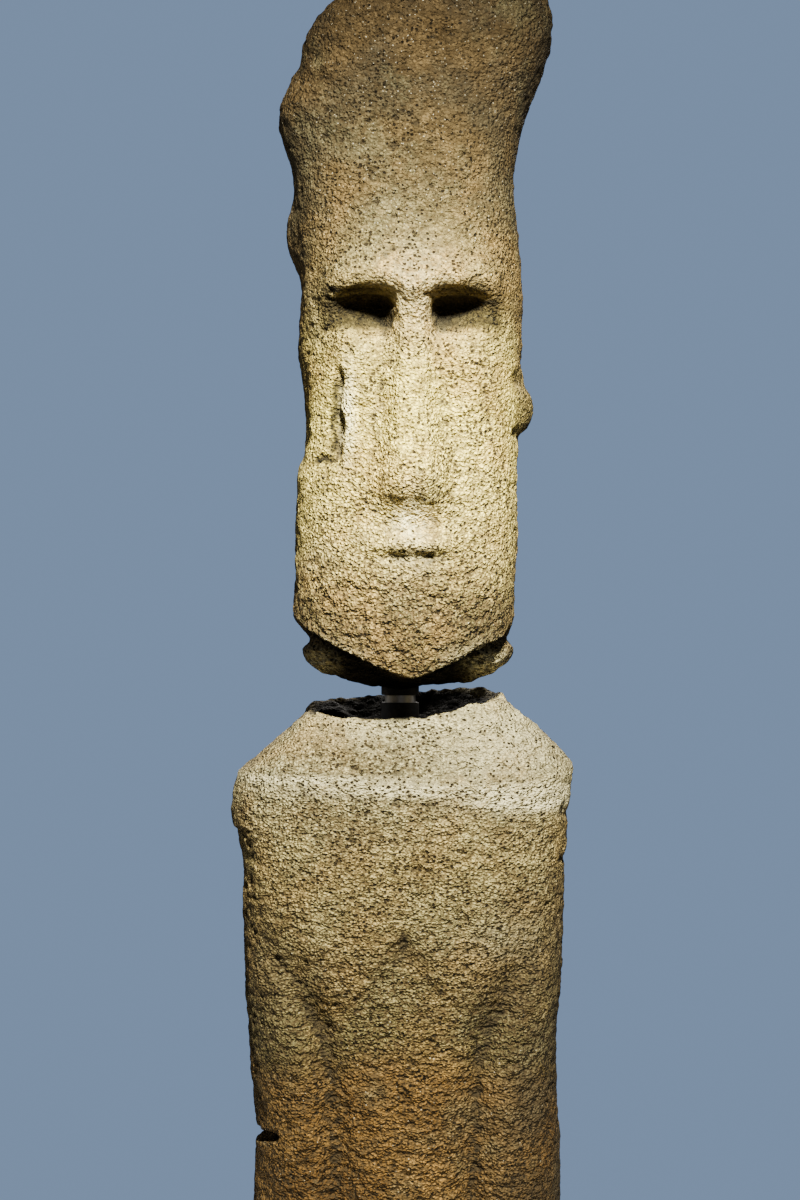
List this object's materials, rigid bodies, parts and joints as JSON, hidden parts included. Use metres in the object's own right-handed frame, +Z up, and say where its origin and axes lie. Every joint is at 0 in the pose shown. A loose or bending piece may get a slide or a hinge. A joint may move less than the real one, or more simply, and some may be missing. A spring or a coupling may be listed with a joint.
{
  "type": "moai statue",
  "caption": "Tall, slender moai of volcanic tuff, broken at the neck: a long head with a heavy brow on a steel pin just above a torso with its arms at its sides.",
  "frame": {"origin": "middle of the outline at the level of the flat underside", "axes": "+Z up, +X to the viewer's right, the face and the hands towards -Y"},
  "size_m": [0.6824, 0.4782, 2.9329],
  "materials": {
    "tuff": "rough, pitted, weathered",
    "steel": "satin, plain",
    "bush": "matt black"
  },
  "bodies": {
    "root": {"torso": "tuff", "head": "tuff", "neck_pin": "steel", "torso_bush": "bush", "head_bush": "bush"}
  },
  "joints": []
}
